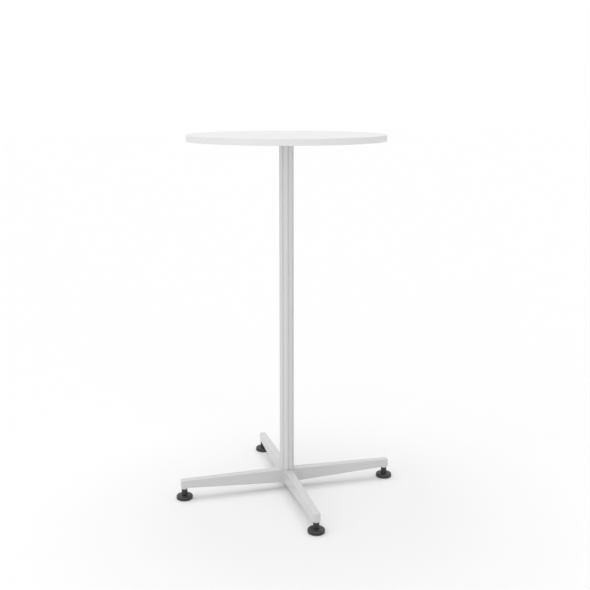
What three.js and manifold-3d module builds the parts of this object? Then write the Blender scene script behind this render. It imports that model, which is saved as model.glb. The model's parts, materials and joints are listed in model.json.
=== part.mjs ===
// Standing meeting table: a round laminate top on a fluted aluminium column and a cast base with four legs.
// Millimetres, +Z up. The origin lies on the floor under the column, and the legs run along X and Y.

import * as THREE from 'three';
import { mergeVertices } from 'three/addons/utils/BufferGeometryUtils.js';
import Module from 'manifold-3d';

// Overall sizes
const TABLE_HEIGHT = 1110;
const TOP_DIAMETER = 600;
const TOP_THICKNESS = 19;
const FOOT_CIRCLE_RADIUS = 325;

// Tabletop board
const LAMINATE_THICKNESS = 0.8;
const EDGE_BAND_THICKNESS = 2;
const EDGE_BAND_ROUNDING = 1.2;

// Mounting plate under the board
const PLATE_DIAMETER = 240;
const PLATE_THICKNESS = 6;
const PLATE_EDGE_CHAMFER = 1;
const PLATE_SCREW_EDGE_MARGIN = 20;
const PLATE_SCREW_COUNT = 4;

// Column extrusion
const COLUMN_DIAMETER = 44;
const FLUTE_COUNT = 8;
const FLUTE_RADIUS = 2.5;
const COLUMN_WALL_BEHIND_FLUTE = 3;
const SCREW_PORT_COUNT = 4;
const SCREW_PORT_WALL = 2;

// Cast base
const LEG_WIDTH_AT_HUB = 26;
const LEG_WIDTH_AT_TIP = 21;
const LEG_DEPTH_AT_HUB = 43;
const LEG_DEPTH_AT_TIP = 24;
const LEG_TOP_RISE = 3.5;
const LEG_TIP_OVERHANG = 11.5;
const LEG_TIP_CORNER = 5;
const LEG_WALL = 4;
const LEG_ROOF = 5;
const LEG_POCKET_COUNT = 3;
const LEG_RIB = 4;
const HUB_FLOOR = 12;
const HUB_RIM = 1;
const HUB_POCKET_WALL = 2;
const SMALLEST_HUB_FILLET = 4;
const BOSS_DIAMETER = 20;
const BOSS_DROP = 4.5;
const CLAMP_PLATE_THICKNESS = 3;

// Levelling foot
const PAD_DIAMETER = 50;
const PAD_THICKNESS = 12;
const PAD_DOME = 1;
const PAD_TOP_ROUNDING = 4;
const PAD_BOTTOM_ROUNDING = 2;
const SOLE_EDGE_MARGIN = 5;
const SOLE_THICKNESS = 2.5;
const SOLE_PROUD = 1;
const COLLAR_DIAMETER = 18;
const COLLAR_LENGTH = 18.4;
const COLLAR_CHAMFER = 0.8;
const STUD_DIAMETER = 10;
const STUD_HEAD_OVERHANG = 3;
const STUD_HEAD_THICKNESS = 4;
const STUD_GRIP = 20;
const STUD_BORE_SPARE = 3;

// Fasteners: shank and head diameters, head height, hexagon across flats, its depth, and grip in the thread
const BASE_SCREW = { shank: 8, head: 13, headHeight: 8, hexagon: 6, hexagonDepth: 4, grip: 16 };
const COLUMN_TOP_SCREW = { shank: 8, head: 15, headHeight: 3.5, hexagon: 5, hexagonDepth: 2.5, grip: 20 };
const PLATE_SCREW = { shank: 6, head: 10.5, headHeight: 3.3, hexagon: 4, hexagonDepth: 2, grip: 10 };
const PLATE_SCREW_CROWN = 7;
const PLATE_SCREW_RIM = 1.1;
const INSERT_WALL = 2;
const INSERT_LENGTH = 12;
const INSERT_HOLE_SPARE = 1;

// Clearances
const GLUE_LINE = 0.1;
const SEAT_GAP = 0.2;
const RUNNING_GAP = 0.3;
const HOLE_CLEARANCE = 0.3;
const CUT_OVERRUN = 1;

// Facets of a full turn, by the size of what is turned
const FACETS_TOP = 96;
const FACETS_PLATE = 48;
const FACETS_FOOT = 24;
const FACETS_BORE = 16;
const FACETS_BASE_SLOPE = 16;
const SECTION_ARC_STEPS = 3;
const EDGE_ARC_STEPS = 2;

// Heights, from the floor up
const PAD_TOP = SOLE_PROUD + PAD_THICKNESS;
const COLLAR_BOTTOM = PAD_TOP + RUNNING_GAP;
const BOSS_BOTTOM = COLLAR_BOTTOM + COLLAR_LENGTH + RUNNING_GAP;
const TIP_UNDERSIDE = BOSS_BOTTOM + BOSS_DROP;
const TIP_TOP = TIP_UNDERSIDE + LEG_DEPTH_AT_TIP;
const HUB_TOP = TIP_TOP + LEG_TOP_RISE;
const HUB_UNDERSIDE = HUB_TOP - LEG_DEPTH_AT_HUB;
const COLUMN_BOTTOM = HUB_TOP + SEAT_GAP;
const BOARD_UNDERSIDE = TABLE_HEIGHT - TOP_THICKNESS;
const PLATE_TOP = BOARD_UNDERSIDE - SEAT_GAP;
const PLATE_UNDERSIDE = PLATE_TOP - PLATE_THICKNESS;
const COLUMN_TOP = PLATE_UNDERSIDE - SEAT_GAP;

// Sizes that follow from the driving ones
const COLUMN_RADIUS = COLUMN_DIAMETER / 2;
const COLUMN_BORE_RADIUS = COLUMN_RADIUS - FLUTE_RADIUS - COLUMN_WALL_BEHIND_FLUTE;
const SCREW_PORT_BORE_RADIUS = BASE_SCREW.shank / 2 + HOLE_CLEARANCE;
const SCREW_PORT_RADIUS = SCREW_PORT_BORE_RADIUS + SCREW_PORT_WALL;
const SCREW_PORT_CIRCLE_RADIUS = COLUMN_BORE_RADIUS - SCREW_PORT_BORE_RADIUS - SCREW_PORT_WALL / 2;
const CLAMP_PLATE_RADIUS = SCREW_PORT_CIRCLE_RADIUS + BASE_SCREW.head / 2 + HOLE_CLEARANCE;
const HUB_POCKET_RADIUS = CLAMP_PLATE_RADIUS + HOLE_CLEARANCE;
const HUB_FLOOR_UNDERSIDE = HUB_TOP - HUB_FLOOR;
const LEG_TIP_RADIUS = FOOT_CIRCLE_RADIUS + LEG_TIP_OVERHANG;
const LEG_TAPER = (LEG_WIDTH_AT_HUB - LEG_WIDTH_AT_TIP) / 2 / LEG_TIP_RADIUS;
const BOARD_RADIUS = TOP_DIAMETER / 2 - EDGE_BAND_THICKNESS - GLUE_LINE;
const PLATE_SCREW_CIRCLE_RADIUS = PLATE_DIAMETER / 2 - PLATE_SCREW_EDGE_MARGIN;
const INSERT_RADIUS = PLATE_SCREW.shank / 2 + HOLE_CLEARANCE + INSERT_WALL;
const INSERT_HOLE_RADIUS = INSERT_RADIUS + HOLE_CLEARANCE;
const STUD_BORE_RADIUS = STUD_DIAMETER / 2 + RUNNING_GAP;
const STUD_HEAD_RADIUS = STUD_DIAMETER / 2 + STUD_HEAD_OVERHANG;
const SOLE_RADIUS = PAD_DIAMETER / 2 - SOLE_EDGE_MARGIN;

const FULL_TURN = 2 * Math.PI;
const QUARTER_TURN = Math.PI / 2;
const LEG_ANGLES = { front: -QUARTER_TURN, right: 0, back: QUARTER_TURN, left: Math.PI };
const legAngles = Object.values(LEG_ANGLES);

const wasm = await Module();
wasm.setup();

// Materials

function material(color, roughness, metalness) {
  return new THREE.MeshStandardMaterial({ color, roughness, metalness });
}

const WHITE_LAMINATE = material(0xefefee, 0.45, 0);
const WHITE_EDGE = material(0xe9e9e8, 0.5, 0);
const CORE_BOARD = material(0xb99f78, 0.9, 0);
const SILVER_COAT = material(0xcfd0d1, 0.5, 0.2);
const ANODISED = material(0xcfd0d0, 0.45, 0.5);
const ZINC_STEEL = material(0xb4b6b8, 0.35, 0.9);
const BLACK_NYLON = material(0x2a2a2b, 0.55, 0);
const GREY_RUBBER = material(0x3a3a3a, 0.9, 0);

// Geometry helpers

/** Joins shared corners and drops the facets that have no area. */
function welded(geometry) {
  const plain = geometry.index ? geometry.toNonIndexed() : geometry.clone();
  plain.deleteAttribute('normal');
  plain.deleteAttribute('uv');
  const joined = mergeVertices(plain);
  const corners = joined.index.array;
  const kept = [];
  for (let i = 0; i < corners.length; i += 3) {
    const [a, b, c] = [corners[i], corners[i + 1], corners[i + 2]];
    if (a !== b && b !== c && c !== a) {
      kept.push(a, b, c);
    }
  }
  joined.setIndex(kept);
  return joined;
}

function solid(geometry) {
  const mesh = welded(geometry);
  return new wasm.Manifold(new wasm.Mesh({
    numProp: 3,
    vertProperties: new Float32Array(mesh.attributes.position.array),
    triVerts: new Uint32Array(mesh.index.array),
  }));
}

function geometryOf(body) {
  const { vertProperties, triVerts } = body.getMesh();
  const geometry = new THREE.BufferGeometry();
  geometry.setAttribute('position', new THREE.BufferAttribute(new Float32Array(vertProperties), 3));
  geometry.setIndex(new THREE.BufferAttribute(new Uint32Array(triVerts), 1));
  return geometry;
}

/** Turns a profile of [radius, height] points about Z. The profile runs anticlockwise. */
function turned(profile, facets) {
  const points = profile.map(([radius, height]) => new THREE.Vector2(radius, height));
  return welded(new THREE.LatheGeometry(points, facets).rotateX(QUARTER_TURN));
}

function disc(radius, bottom, top, facets) {
  return turned([[0, bottom], [radius, bottom], [radius, top], [0, top]], facets);
}

function ring(inner, outer, bottom, top, facets) {
  const profile = [[inner, bottom], [outer, bottom], [outer, top], [inner, top], [inner, bottom]];
  return turned(profile, facets);
}

/** Points of a quarter-round edge, from one angle to another about a centre. */
function edgeArc(centre, radius, from, to) {
  const points = [];
  for (let step = 0; step <= EDGE_ARC_STEPS; step += 1) {
    const angle = from + (to - from) * step / EDGE_ARC_STEPS;
    points.push([centre[0] + radius * Math.cos(angle), centre[1] + radius * Math.sin(angle)]);
  }
  return points;
}

function prism(shape, bottom, top) {
  const options = { depth: top - bottom, bevelEnabled: false, curveSegments: SECTION_ARC_STEPS };
  return welded(new THREE.ExtrudeGeometry(shape, options).translate(0, 0, bottom));
}

function polar(radius, angle) {
  return [radius * Math.cos(angle), radius * Math.sin(angle)];
}

/** Angles of equal steps round a circle, the first one at the given start. */
function roundAngles(count, start = 0) {
  return Array.from({ length: count }, (_, index) => start + FULL_TURN * index / count);
}

function cutHoles(geometry, radius, bottom, top, circleRadius, angles) {
  return angles.reduce((body, angle) => {
    const hole = disc(radius, bottom, top, FACETS_BORE).translate(...polar(circleRadius, angle), 0);
    return body.subtract(solid(hole));
  }, solid(geometry));
}

function hexagonSocket(acrossFlats, bottom, top) {
  const sides = 6;
  const cornerRadius = acrossFlats / 2 / Math.cos(Math.PI / sides);
  return disc(cornerRadius, bottom, top, sides);
}

const table = new THREE.Group();

function addPiece(name, geometry, finish, parent = table) {
  const mesh = new THREE.Mesh(geometry, finish.clone());
  mesh.name = name;
  parent.add(mesh);
  return mesh;
}

// Tabletop: core board, two laminate sheets and the band round the edge

const plateScrewAngles = roundAngles(PLATE_SCREW_COUNT, Math.PI / PLATE_SCREW_COUNT);
const screwPortAngles = roundAngles(SCREW_PORT_COUNT);

function addTabletop() {
  const backingTop = BOARD_UNDERSIDE + LAMINATE_THICKNESS;
  const laminateBottom = TABLE_HEIGHT - LAMINATE_THICKNESS;
  const coreBottom = backingTop + GLUE_LINE;
  const coreTop = laminateBottom - GLUE_LINE;
  const insertHoleTop = BOARD_UNDERSIDE + INSERT_LENGTH + INSERT_HOLE_SPARE;

  const laminate = disc(BOARD_RADIUS, laminateBottom, TABLE_HEIGHT, FACETS_TOP);
  addPiece('tabletop_laminate', laminate, WHITE_LAMINATE);

  const core = cutHoles(
    disc(BOARD_RADIUS, coreBottom, coreTop, FACETS_TOP),
    INSERT_HOLE_RADIUS, BOARD_UNDERSIDE, insertHoleTop, PLATE_SCREW_CIRCLE_RADIUS, plateScrewAngles,
  );
  addPiece('tabletop_core', geometryOf(core), CORE_BOARD);

  const backing = cutHoles(
    disc(BOARD_RADIUS, BOARD_UNDERSIDE, backingTop, FACETS_TOP),
    INSERT_HOLE_RADIUS, BOARD_UNDERSIDE - CUT_OVERRUN, backingTop + CUT_OVERRUN,
    PLATE_SCREW_CIRCLE_RADIUS, plateScrewAngles,
  );
  addPiece('tabletop_backing', geometryOf(backing), WHITE_LAMINATE);

  const outer = TOP_DIAMETER / 2;
  const inner = outer - EDGE_BAND_THICKNESS;
  const round = EDGE_BAND_ROUNDING;
  const band = turned([
    [inner, BOARD_UNDERSIDE],
    ...edgeArc([outer - round, BOARD_UNDERSIDE + round], round, -QUARTER_TURN, 0),
    ...edgeArc([outer - round, TABLE_HEIGHT - round], round, 0, QUARTER_TURN),
    [inner, TABLE_HEIGHT],
    [inner, BOARD_UNDERSIDE],
  ], FACETS_TOP);
  addPiece('tabletop_edge_band', band, WHITE_EDGE);
}

function addInsertsAndPlateScrews() {
  const { shank, head, headHeight, hexagon, hexagonDepth, grip } = PLATE_SCREW;
  const insertBore = shank / 2 + HOLE_CLEARANCE;
  const headTop = PLATE_UNDERSIDE - SEAT_GAP;
  const headBottom = headTop - headHeight;
  const insert = ring(
    insertBore, INSERT_RADIUS, BOARD_UNDERSIDE, BOARD_UNDERSIDE + INSERT_LENGTH, FACETS_BORE,
  );
  const blank = turned([
    [0, headBottom],
    [PLATE_SCREW_CROWN / 2, headBottom],
    [head / 2, headTop - PLATE_SCREW_RIM],
    [head / 2, headTop],
    [shank / 2, headTop],
    [shank / 2, BOARD_UNDERSIDE + grip],
    [0, BOARD_UNDERSIDE + grip],
  ], FACETS_BORE);
  const socket = hexagonSocket(hexagon, headBottom - CUT_OVERRUN, headBottom + hexagonDepth);
  const screw = geometryOf(solid(blank).subtract(solid(socket)));

  plateScrewAngles.forEach((angle, index) => {
    const place = [...polar(PLATE_SCREW_CIRCLE_RADIUS, angle), 0];
    addPiece(`thread_insert_${index + 1}`, insert, ZINC_STEEL).position.set(...place);
    addPiece(`plate_screw_${index + 1}`, screw, ZINC_STEEL).position.set(...place);
  });
}

// Mounting plate with the countersunk screws that hold the column

function countersunkProfile(clearance) {
  const { shank, head, headHeight } = COLUMN_TOP_SCREW;
  const headTop = PLATE_TOP - SEAT_GAP;
  return {
    headTop,
    points: [
      [shank / 2 + clearance, headTop - headHeight],
      [head / 2 + clearance, headTop],
    ],
  };
}

function addMountingPlate() {
  const radius = PLATE_DIAMETER / 2;
  const blank = turned([
    [0, PLATE_UNDERSIDE],
    [radius - PLATE_EDGE_CHAMFER, PLATE_UNDERSIDE],
    [radius, PLATE_UNDERSIDE + PLATE_EDGE_CHAMFER],
    [radius, PLATE_TOP],
    [0, PLATE_TOP],
  ], FACETS_PLATE);
  let plate = cutHoles(
    blank,
    PLATE_SCREW.shank / 2 + HOLE_CLEARANCE, PLATE_UNDERSIDE - CUT_OVERRUN, PLATE_TOP + CUT_OVERRUN,
    PLATE_SCREW_CIRCLE_RADIUS, plateScrewAngles,
  );
  const sink = countersunkProfile(HOLE_CLEARANCE);
  const [[holeRadius], [mouthRadius]] = sink.points;
  const countersink = turned([
    [0, PLATE_UNDERSIDE - CUT_OVERRUN],
    [holeRadius, PLATE_UNDERSIDE - CUT_OVERRUN],
    ...sink.points,
    [mouthRadius, PLATE_TOP + CUT_OVERRUN],
    [0, PLATE_TOP + CUT_OVERRUN],
  ], FACETS_BORE);
  for (const angle of screwPortAngles) {
    const place = [...polar(SCREW_PORT_CIRCLE_RADIUS, angle), 0];
    plate = plate.subtract(solid(countersink.clone().translate(...place)));
  }
  addPiece('mounting_plate', geometryOf(plate), SILVER_COAT);
}

function addColumnTopScrews() {
  const { shank, hexagon, hexagonDepth, grip } = COLUMN_TOP_SCREW;
  const { headTop, points } = countersunkProfile(0);
  const blank = turned([
    [0, COLUMN_TOP - grip],
    [shank / 2, COLUMN_TOP - grip],
    ...points,
    [0, headTop],
  ], FACETS_BORE);
  const socket = hexagonSocket(hexagon, headTop - hexagonDepth, headTop + CUT_OVERRUN);
  const screw = geometryOf(solid(blank).subtract(solid(socket)));
  screwPortAngles.forEach((angle, index) => {
    const place = [...polar(SCREW_PORT_CIRCLE_RADIUS, angle), 0];
    addPiece(`column_top_screw_${index + 1}`, screw, ZINC_STEEL).position.set(...place);
  });
}

// Column: a fluted tube with screw ports along its bore

function columnOutline() {
  const shape = new THREE.Shape();
  const halfFlute = 2 * Math.asin(FLUTE_RADIUS / 2 / COLUMN_RADIUS);
  const mouth = QUARTER_TURN + halfFlute / 2;
  const pitch = FULL_TURN / FLUTE_COUNT;
  for (const angle of roundAngles(FLUTE_COUNT)) {
    const [x, y] = polar(COLUMN_RADIUS, angle);
    shape.absarc(x, y, FLUTE_RADIUS, angle - mouth, angle + mouth, true);
    shape.absarc(0, 0, COLUMN_RADIUS, angle + halfFlute, angle + pitch - halfFlute, false);
  }
  return shape;
}

function addColumn() {
  const section = columnOutline();
  const bore = roundAngles(FACETS_PLATE).map((angle) => polar(COLUMN_BORE_RADIUS, angle));
  section.holes.push(new THREE.Path(bore.map(([x, y]) => new THREE.Vector2(x, y))));
  let column = solid(prism(section, COLUMN_BOTTOM, COLUMN_TOP));
  const port = disc(SCREW_PORT_RADIUS, COLUMN_BOTTOM, COLUMN_TOP, FACETS_BORE);
  for (const angle of screwPortAngles) {
    const place = [...polar(SCREW_PORT_CIRCLE_RADIUS, angle), 0];
    column = column.add(solid(port.clone().translate(...place)));
  }
  column = cutHoles(
    geometryOf(column),
    SCREW_PORT_BORE_RADIUS, COLUMN_BOTTOM - CUT_OVERRUN, COLUMN_TOP + CUT_OVERRUN,
    SCREW_PORT_CIRCLE_RADIUS, screwPortAngles,
  );
  addPiece('column_extrusion', geometryOf(column), ANODISED);
}

// Cast base: four tapered legs round a hub, hollow and ribbed underneath

function legHalfWidth(radius) {
  return LEG_WIDTH_AT_HUB / 2 - LEG_TAPER * radius;
}

/** Fillet between two legs, wide enough to leave a wall round the screw pocket under the hub. */
function hubFillet() {
  const slope = Math.hypot(1, LEG_TAPER);
  const spread = Math.SQRT2 / (1 + LEG_TAPER);
  const reach = HUB_POCKET_RADIUS + HUB_POCKET_WALL;
  const wanted = (reach - spread * LEG_WIDTH_AT_HUB / 2) / (spread * slope - 1);
  const radius = Math.max(SMALLEST_HUB_FILLET, wanted);
  const centre = (LEG_WIDTH_AT_HUB / 2 + radius * slope) / (1 + LEG_TAPER);
  return { radius, centre };
}

function starOutline() {
  const shape = new THREE.Shape();
  const lean = Math.atan(LEG_TAPER);
  const corner = LEG_TIP_CORNER;
  const cornerX = LEG_TIP_RADIUS - corner;
  const cornerY = legHalfWidth(cornerX) - corner * Math.hypot(1, LEG_TAPER);
  const fillet = hubFillet();
  for (const angle of legAngles) {
    const [cos, sin] = [Math.cos(angle), Math.sin(angle)];
    const place = (x, y) => [x * cos - y * sin, x * sin + y * cos];
    const flank = QUARTER_TURN - lean;
    shape.absarc(...place(cornerX, -cornerY), corner, angle - flank, angle, false);
    shape.absarc(...place(cornerX, cornerY), corner, angle, angle + flank, false);
    const hub = place(fillet.centre, fillet.centre);
    shape.absarc(...hub, fillet.radius, angle - QUARTER_TURN - lean, angle - Math.PI + lean, true);
  }
  return shape;
}

/** The space between the sloping underside and top of the legs, each lowered, turned about the column. */
function legEnvelope(undersideDrop, topDrop) {
  const reach = LEG_TIP_RADIUS + LEG_WIDTH_AT_HUB;
  const flat = COLUMN_RADIUS + HUB_RIM;
  const underside = HUB_UNDERSIDE - undersideDrop;
  const top = HUB_TOP - topDrop;
  const undersideRise = (TIP_UNDERSIDE - HUB_UNDERSIDE) / FOOT_CIRCLE_RADIUS;
  const topFall = LEG_TOP_RISE / (FOOT_CIRCLE_RADIUS - flat);
  return solid(turned([
    [0, underside],
    [reach, underside + undersideRise * reach],
    [reach, top - topFall * (reach - flat)],
    [flat, top],
    [0, top],
  ], FACETS_BASE_SLOPE));
}

function pocketOutline(from, to) {
  const [near, far] = [legHalfWidth(from) - LEG_WALL, legHalfWidth(to) - LEG_WALL];
  const corners = [[from, -near], [to, -far], [to, far], [from, near]];
  return new THREE.Shape(corners.map(([x, y]) => new THREE.Vector2(x, y)));
}

function legPockets() {
  const start = HUB_POCKET_RADIUS + LEG_WALL;
  const end = FOOT_CIRCLE_RADIUS - BOSS_DIAMETER / 2 - LEG_WALL;
  const length = (end - start - LEG_RIB * (LEG_POCKET_COUNT - 1)) / LEG_POCKET_COUNT;
  const pockets = [];
  for (const angle of legAngles) {
    for (let index = 0; index < LEG_POCKET_COUNT; index += 1) {
      const from = start + index * (length + LEG_RIB);
      pockets.push(prism(pocketOutline(from, from + length), 0, HUB_TOP).rotateZ(angle));
    }
  }
  return pockets;
}

function addBase() {
  const bossTop = TIP_UNDERSIDE + LEG_DEPTH_AT_TIP / 2;
  const studBoreTop = BOSS_BOTTOM + STUD_GRIP + STUD_BORE_SPARE;
  const hollow = legEnvelope(LEG_DEPTH_AT_TIP, LEG_ROOF);
  let casting = solid(prism(starOutline(), 0, HUB_TOP + CUT_OVERRUN)).intersect(legEnvelope(0, 0));
  for (const angle of legAngles) {
    const boss = disc(BOSS_DIAMETER / 2, BOSS_BOTTOM, bossTop, FACETS_FOOT);
    casting = casting.add(solid(boss.translate(...polar(FOOT_CIRCLE_RADIUS, angle), 0)));
  }
  for (const pocket of legPockets()) {
    casting = casting.subtract(solid(pocket).intersect(hollow));
  }
  casting = casting.subtract(solid(disc(HUB_POCKET_RADIUS, 0, HUB_FLOOR_UNDERSIDE, FACETS_PLATE)));
  casting = cutHoles(
    geometryOf(casting),
    SCREW_PORT_BORE_RADIUS, 0, HUB_TOP + CUT_OVERRUN, SCREW_PORT_CIRCLE_RADIUS, screwPortAngles,
  );
  casting = cutHoles(
    geometryOf(casting),
    STUD_BORE_RADIUS, 0, studBoreTop, FOOT_CIRCLE_RADIUS, legAngles,
  );
  addPiece('star_base', geometryOf(casting), SILVER_COAT);
}

function addClampPlateAndBaseScrews() {
  const { shank, head, headHeight, hexagon, hexagonDepth, grip } = BASE_SCREW;
  const plateTop = HUB_FLOOR_UNDERSIDE - SEAT_GAP;
  const plateBottom = plateTop - CLAMP_PLATE_THICKNESS;
  const plate = cutHoles(
    disc(CLAMP_PLATE_RADIUS, plateBottom, plateTop, FACETS_FOOT),
    SCREW_PORT_BORE_RADIUS, plateBottom - CUT_OVERRUN, plateTop + CUT_OVERRUN,
    SCREW_PORT_CIRCLE_RADIUS, screwPortAngles,
  );
  addPiece('clamp_plate', geometryOf(plate), ZINC_STEEL);

  const headTop = plateBottom - SEAT_GAP;
  const headBottom = headTop - headHeight;
  const blank = turned([
    [0, headBottom],
    [head / 2, headBottom],
    [head / 2, headTop],
    [shank / 2, headTop],
    [shank / 2, COLUMN_BOTTOM + grip],
    [0, COLUMN_BOTTOM + grip],
  ], FACETS_BORE);
  const socket = hexagonSocket(hexagon, headBottom - CUT_OVERRUN, headBottom + hexagonDepth);
  const screw = geometryOf(solid(blank).subtract(solid(socket)));
  screwPortAngles.forEach((angle, index) => {
    const place = [...polar(SCREW_PORT_CIRCLE_RADIUS, angle), 0];
    addPiece(`base_screw_${index + 1}`, screw, ZINC_STEEL).position.set(...place);
  });
}

// Levelling feet: a pad and sole that stand on the floor, and a stud with its collar that turns in them

const headBottom = SOLE_THICKNESS + RUNNING_GAP;
const headTop = headBottom + STUD_HEAD_THICKNESS;

function padGeometry() {
  const outer = PAD_DIAMETER / 2;
  const shoulder = PAD_TOP - PAD_DOME;
  const headPocket = STUD_HEAD_RADIUS + RUNNING_GAP;
  const soleRecess = SOLE_RADIUS + RUNNING_GAP;
  const lower = [outer - PAD_BOTTOM_ROUNDING, SOLE_PROUD + PAD_BOTTOM_ROUNDING];
  const upper = [outer - PAD_TOP_ROUNDING, shoulder - PAD_TOP_ROUNDING];
  return turned([
    [soleRecess, SOLE_PROUD],
    ...edgeArc(lower, PAD_BOTTOM_ROUNDING, -QUARTER_TURN, 0),
    ...edgeArc(upper, PAD_TOP_ROUNDING, 0, QUARTER_TURN),
    [COLLAR_DIAMETER / 2, PAD_TOP],
    [STUD_BORE_RADIUS, PAD_TOP],
    [STUD_BORE_RADIUS, headTop + RUNNING_GAP],
    [headPocket, headTop + RUNNING_GAP],
    [headPocket, SOLE_THICKNESS + SEAT_GAP],
    [soleRecess, SOLE_THICKNESS + SEAT_GAP],
    [soleRecess, SOLE_PROUD],
  ], FACETS_FOOT);
}

function collarGeometry() {
  const [inner, outer] = [STUD_BORE_RADIUS, COLLAR_DIAMETER / 2];
  const top = COLLAR_BOTTOM + COLLAR_LENGTH;
  return turned([
    [inner, COLLAR_BOTTOM],
    [outer - COLLAR_CHAMFER, COLLAR_BOTTOM],
    [outer, COLLAR_BOTTOM + COLLAR_CHAMFER],
    [outer, top - COLLAR_CHAMFER],
    [outer - COLLAR_CHAMFER, top],
    [inner, top],
    [inner, COLLAR_BOTTOM],
  ], FACETS_FOOT);
}

function studGeometry() {
  const radius = STUD_DIAMETER / 2;
  const top = BOSS_BOTTOM + STUD_GRIP;
  return turned([
    [0, headBottom],
    [STUD_HEAD_RADIUS, headBottom],
    [STUD_HEAD_RADIUS, headTop],
    [radius, headTop],
    [radius, top],
    [0, top],
  ], FACETS_BORE);
}

function addFeet() {
  const pad = padGeometry();
  const sole = disc(SOLE_RADIUS, 0, SOLE_THICKNESS, FACETS_FOOT);
  const collar = collarGeometry();
  const stud = studGeometry();
  for (const [side, angle] of Object.entries(LEG_ANGLES)) {
    const foot = new THREE.Group();
    foot.position.set(...polar(FOOT_CIRCLE_RADIUS, angle), 0);
    addPiece(`foot_pad_${side}`, pad, BLACK_NYLON, foot);
    addPiece(`foot_sole_${side}`, sole, GREY_RUBBER, foot);
    addPiece(`foot_collar_${side}`, collar, BLACK_NYLON, foot);
    addPiece(`foot_stud_${side}`, stud, ZINC_STEEL, foot);
    table.add(foot);
  }
}

addTabletop();
addInsertsAndPlateScrews();
addMountingPlate();
addColumnTopScrews();
addColumn();
addBase();
addClampPlateAndBaseScrews();
addFeet();

export default table;
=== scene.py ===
"""Looks of a standing meeting table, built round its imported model. Metres, +Z up, legs along X and Y."""

import json
import logging
import math
from collections.abc import Callable, Iterator, Mapping, Sequence
from dataclasses import dataclass
from enum import Enum
from typing import Any

import bmesh
import bpy
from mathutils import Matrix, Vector

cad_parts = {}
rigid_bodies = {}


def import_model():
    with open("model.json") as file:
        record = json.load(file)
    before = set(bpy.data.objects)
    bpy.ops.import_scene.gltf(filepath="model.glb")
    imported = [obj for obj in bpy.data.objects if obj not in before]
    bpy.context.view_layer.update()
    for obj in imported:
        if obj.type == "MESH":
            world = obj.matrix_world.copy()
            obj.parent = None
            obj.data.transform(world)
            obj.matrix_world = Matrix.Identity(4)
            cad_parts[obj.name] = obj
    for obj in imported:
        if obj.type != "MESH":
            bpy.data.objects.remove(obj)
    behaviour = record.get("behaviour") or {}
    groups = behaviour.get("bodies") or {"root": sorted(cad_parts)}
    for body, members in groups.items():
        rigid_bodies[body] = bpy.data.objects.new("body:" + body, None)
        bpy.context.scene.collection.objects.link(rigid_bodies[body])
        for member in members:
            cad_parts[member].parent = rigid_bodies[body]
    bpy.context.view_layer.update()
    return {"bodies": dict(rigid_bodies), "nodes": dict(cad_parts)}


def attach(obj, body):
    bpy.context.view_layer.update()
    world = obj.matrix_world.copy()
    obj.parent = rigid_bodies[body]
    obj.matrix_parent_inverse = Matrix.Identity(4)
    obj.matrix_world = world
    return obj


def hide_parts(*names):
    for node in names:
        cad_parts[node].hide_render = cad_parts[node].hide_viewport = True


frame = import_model()

Point = tuple[float, float, float]
Colour = tuple[float, float, float]
Paint = tuple[float, float, float, float]
Ring = tuple[float, float]
Profile = Sequence[Ring]
Rounding = tuple[float, int]
Piece = bpy.types.Object

LOG = logging.getLogger("standing_table")

# Measures: one millimetre, and how near two corners are to be merged, to count as touching or as close.
MM = 0.001
WELD = 0.002 * MM
TOUCH = 0.02 * MM
NEAR = 0.2 * MM
QUARTER = math.pi / 2
DIAGONAL = math.sqrt(0.5)

# Upward parts of a face's normal that tell level, gently sloping and upright faces apart.
LEVEL = 0.999
SLOPING = 0.9
UPRIGHT = 0.3

# Screw thread: the parts of one pitch that its crest, each flank and its root take up.
CREST_SHARE = 0.15
FLANK_SHARE = 0.325
ROOT_SHARE = 0.2
FEWEST_SIDES = 3

# Materials: a pattern's middle value, an even scale, plain white and the rays that are seen.
MIDDLE = 0.5
EVEN: Point = (1.0, 1.0, 1.0)
WHITE: Paint = (1.0, 1.0, 1.0, 1.0)
SEEN_RAYS = ("Is Camera Ray", "Is Glossy Ray", "Is Transmission Ray")

# Settings of a smooth step and of a colour mix, and the mix's numbered sockets.
SMOOTH_STEP = {"interpolation_type": "SMOOTHSTEP"}
COLOUR_MIX = {"data_type": "RGBA", "clamp_factor": True}
MIX_SHARE = 0
MIX_FIRST = 6
MIX_SECOND = 7
MIX_RESULT = 2


class Part(Enum):
    """The kinds of mesh element that can be picked."""

    CORNERS = "VERT"
    EDGES = "EDGE"
    FACES = "FACE"


class Fusion(Enum):
    """What a second solid does to the first one."""

    JOIN = "UNION"
    CUT = "DIFFERENCE"
    TRIM = "INTERSECT"


class Pattern(Enum):
    """What a layer of a finish follows over the surface."""

    CLOUDS = "cloudy variation"
    CELLS = "tone of each cell"
    GAPS = "distance from the middles of the cells"
    HEIGHT = "height above the floor"
    REACH = "distance from the column's axis"


class Side(Enum):
    """The four legs, by the way they point."""

    FRONT = (0, -1)
    RIGHT = (1, 0)
    BACK = (0, 1)
    LEFT = (-1, 0)

    @property
    def word(self) -> str:
        """The side's name as the frame spells it."""
        return self.name.lower()

    def out(self, reach: float, rise: float = 0.0) -> Point:
        """A step along this leg and upwards."""
        return (self.value[0] * reach, self.value[1] * reach, rise)

    def across(self, share: float) -> Point:
        """Scale factors that narrow this leg and leave its length."""
        return (share if self.value[0] == 0 else 1.0, share if self.value[1] == 0 else 1.0, 1.0)


def grey(level: float) -> Colour:
    """A colour with no tint."""
    return (level, level, level)


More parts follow.
